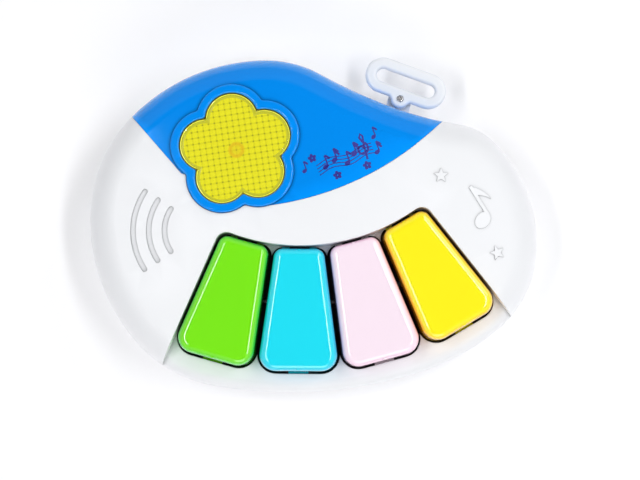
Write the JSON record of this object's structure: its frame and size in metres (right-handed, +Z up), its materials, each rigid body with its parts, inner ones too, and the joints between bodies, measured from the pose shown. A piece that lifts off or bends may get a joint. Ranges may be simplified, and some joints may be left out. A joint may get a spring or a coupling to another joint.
{
  "type": "toy electronic keyboard",
  "caption": "Bean-shaped battery toy keyboard with a fan of sprung colour keys, a flower light window and a strap loop.",
  "frame": {"origin": "on the flat bottom of the rear shell, at the middle of the plan the body is drawn from, where the toy rests on a table", "axes": "+Z up out of the keys, +X along the body's length towards the strap loop side, -Y towards the player"},
  "size_m": [0.1806, 0.1364, 0.0389],
  "materials": {
    "white_abs": "gloss",
    "loop_white": "gloss",
    "blue_abs": "gloss",
    "yellow_lens": "clear tinted",
    "tray_white": "satin",
    "amber_led": "clear tinted",
    "circuit_board": "satin laminate",
    "zinc_screw": "zinc plated",
    "green_key": "gloss",
    "cyan_key": "gloss",
    "pink_key": "gloss",
    "yellow_key": "gloss",
    "steel_pin": "plain",
    "chassis_grey": "satin",
    "silicone": "matt",
    "epoxy_black": "satin",
    "component_metal": "mixed",
    "cell_label": "gloss wrap",
    "nickel": "nickel plated",
    "speaker_steel": "zinc plated",
    "speaker_paper": "felted paper",
    "ferrite": "matt",
    "switch_black": "satin",
    "knob_blue": "gloss"
  },
  "bodies": {
    "housing": {"front_shell": "white_abs", "front_cover": "blue_abs", "flower_lens": "yellow_lens", "light_tray": "tray_white", "led": "amber_led", "led_board": "circuit_board", "light_screws": "zinc_screw", "hinge_pin_green": "steel_pin", "hinge_pin_cyan": "steel_pin", "hinge_pin_pink": "steel_pin", "hinge_pin_yellow": "steel_pin", "key_chassis": "chassis_grey", "contact_mat": "silicone", "rubber_dome_green": "silicone", "rubber_dome_cyan": "silicone", "rubber_dome_pink": "silicone", "rubber_dome_yellow": "silicone", "key_board": "circuit_board", "sound_chip": "epoxy_black", "board_components": "component_metal", "board_screws": "zinc_screw", "chassis_screws": "zinc_screw", "housing_screws": "zinc_screw", "rear_shell": "white_abs", "battery_door": "white_abs", "door_screw": "zinc_screw", "battery_1": "cell_label", "battery_2": "cell_label", "battery_contacts": "nickel", "battery_springs": "nickel", "speaker_frame": "speaker_steel", "speaker_cone": "speaker_paper", "speaker_magnet": "ferrite", "speaker_screws": "zinc_screw", "switch_body": "switch_black", "switch_screws": "zinc_screw", "loop_pin": "steel_pin"},
    "key_green_lever": {"key_green": "green_key"},
    "key_cyan_lever": {"key_cyan": "cyan_key"},
    "key_pink_lever": {"key_pink": "pink_key"},
    "key_yellow_lever": {"key_yellow": "yellow_key"},
    "strap_loop_arm": {"strap_loop": "loop_white"},
    "switch_slider": {"switch_knob": "knob_blue"}
  },
  "joints": [
    {"name": "key_green_press", "type": "hinge", "parent": "housing", "child": "key_green_lever", "pos_m": [-0.0257, -0.00133, 0.0195], "axis": [0.9615, -0.2748, 0], "range_deg": [0, 3.3], "stiffness_Nm_per_rad": 0.2, "springref_deg": -6.88, "deforming": ["rubber_dome_green"]},
    {"name": "key_cyan_press", "type": "hinge", "parent": "housing", "child": "key_cyan_lever", "pos_m": [-0.00579, -0.0042, 0.0195], "axis": [1, -0.0079, 0], "range_deg": [0, 3.3], "stiffness_Nm_per_rad": 0.2, "springref_deg": -6.88, "deforming": ["rubber_dome_cyan"]},
    {"name": "key_pink_press", "type": "hinge", "parent": "housing", "child": "key_pink_lever", "pos_m": [0.01417, -0.00164, 0.0195], "axis": [0.9657, 0.2597, 0], "range_deg": [0, 3.3], "stiffness_Nm_per_rad": 0.2, "springref_deg": -6.88, "deforming": ["rubber_dome_pink"]},
    {"name": "key_yellow_press", "type": "hinge", "parent": "housing", "child": "key_yellow_lever", "pos_m": [0.03272, 0.00616, 0.0195], "axis": [0.8612, 0.5083, 0], "range_deg": [0, 3.3], "stiffness_Nm_per_rad": 0.2, "springref_deg": -6.88, "deforming": ["rubber_dome_yellow"]},
    {"name": "loop_swivel", "type": "hinge", "parent": "housing", "child": "strap_loop_arm", "pos_m": [0.03507, 0.0529, 0.0148], "axis": [0, 0, 1], "range_deg": [-22, 22]},
    {"name": "power_switch", "type": "slide", "parent": "housing", "child": "switch_slider", "axis": [1, 0, 0], "range_m": [0, 0.0025]}
  ]
}
